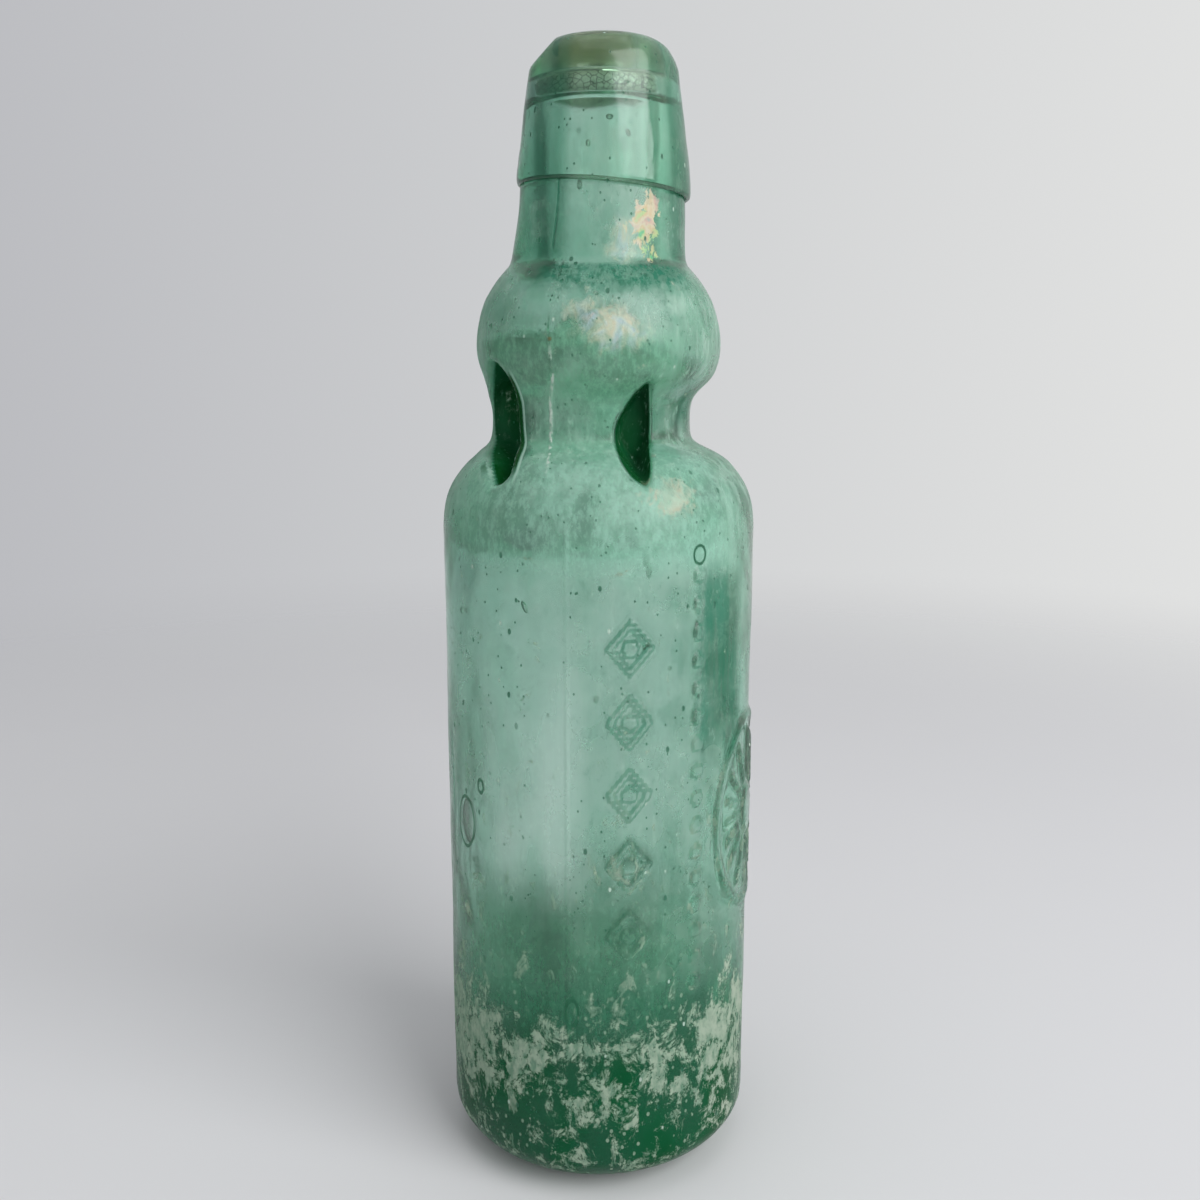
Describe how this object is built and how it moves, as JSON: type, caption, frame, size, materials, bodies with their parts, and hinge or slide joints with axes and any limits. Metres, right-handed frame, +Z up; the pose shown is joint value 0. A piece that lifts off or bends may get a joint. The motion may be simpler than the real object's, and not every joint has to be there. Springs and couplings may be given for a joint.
{
  "type": "marble stopper bottle",
  "caption": "Aqua glass bottle with a pinched waist and round chamber that hold a glass marble, which rises in the neck and seals against a rubber ring in the lip.",
  "frame": {"origin": "centre of the base, on the surface that the bottle stands on", "axes": "+Z up along the bottle's axis, -Y towards the front panel, +X and -X towards the mould seams"},
  "size_m": [0.063, 0.0636, 0.2242],
  "materials": {
    "aqua_glass": "weathered aqua green glass with a milky haze, pits and a pale crust low down",
    "lip_glass": "aqua green glass, fire polished, a little hazy",
    "seal_rubber": "aged vulcanised rubber, dry and faded",
    "marble_glass": "plain aqua glass ball with a few scuffs"
  },
  "bodies": {
    "bottle": {"bottle_body": "aqua_glass", "applied_lip": "lip_glass", "rubber_ring": "seal_rubber"},
    "marble": {"marble": "marble_glass"}
  },
  "joints": [
    {"name": "marble_slide", "type": "slide", "parent": "bottle", "child": "marble", "axis": [0, 0, 1], "range_m": [0, 0.0405]}
  ]
}
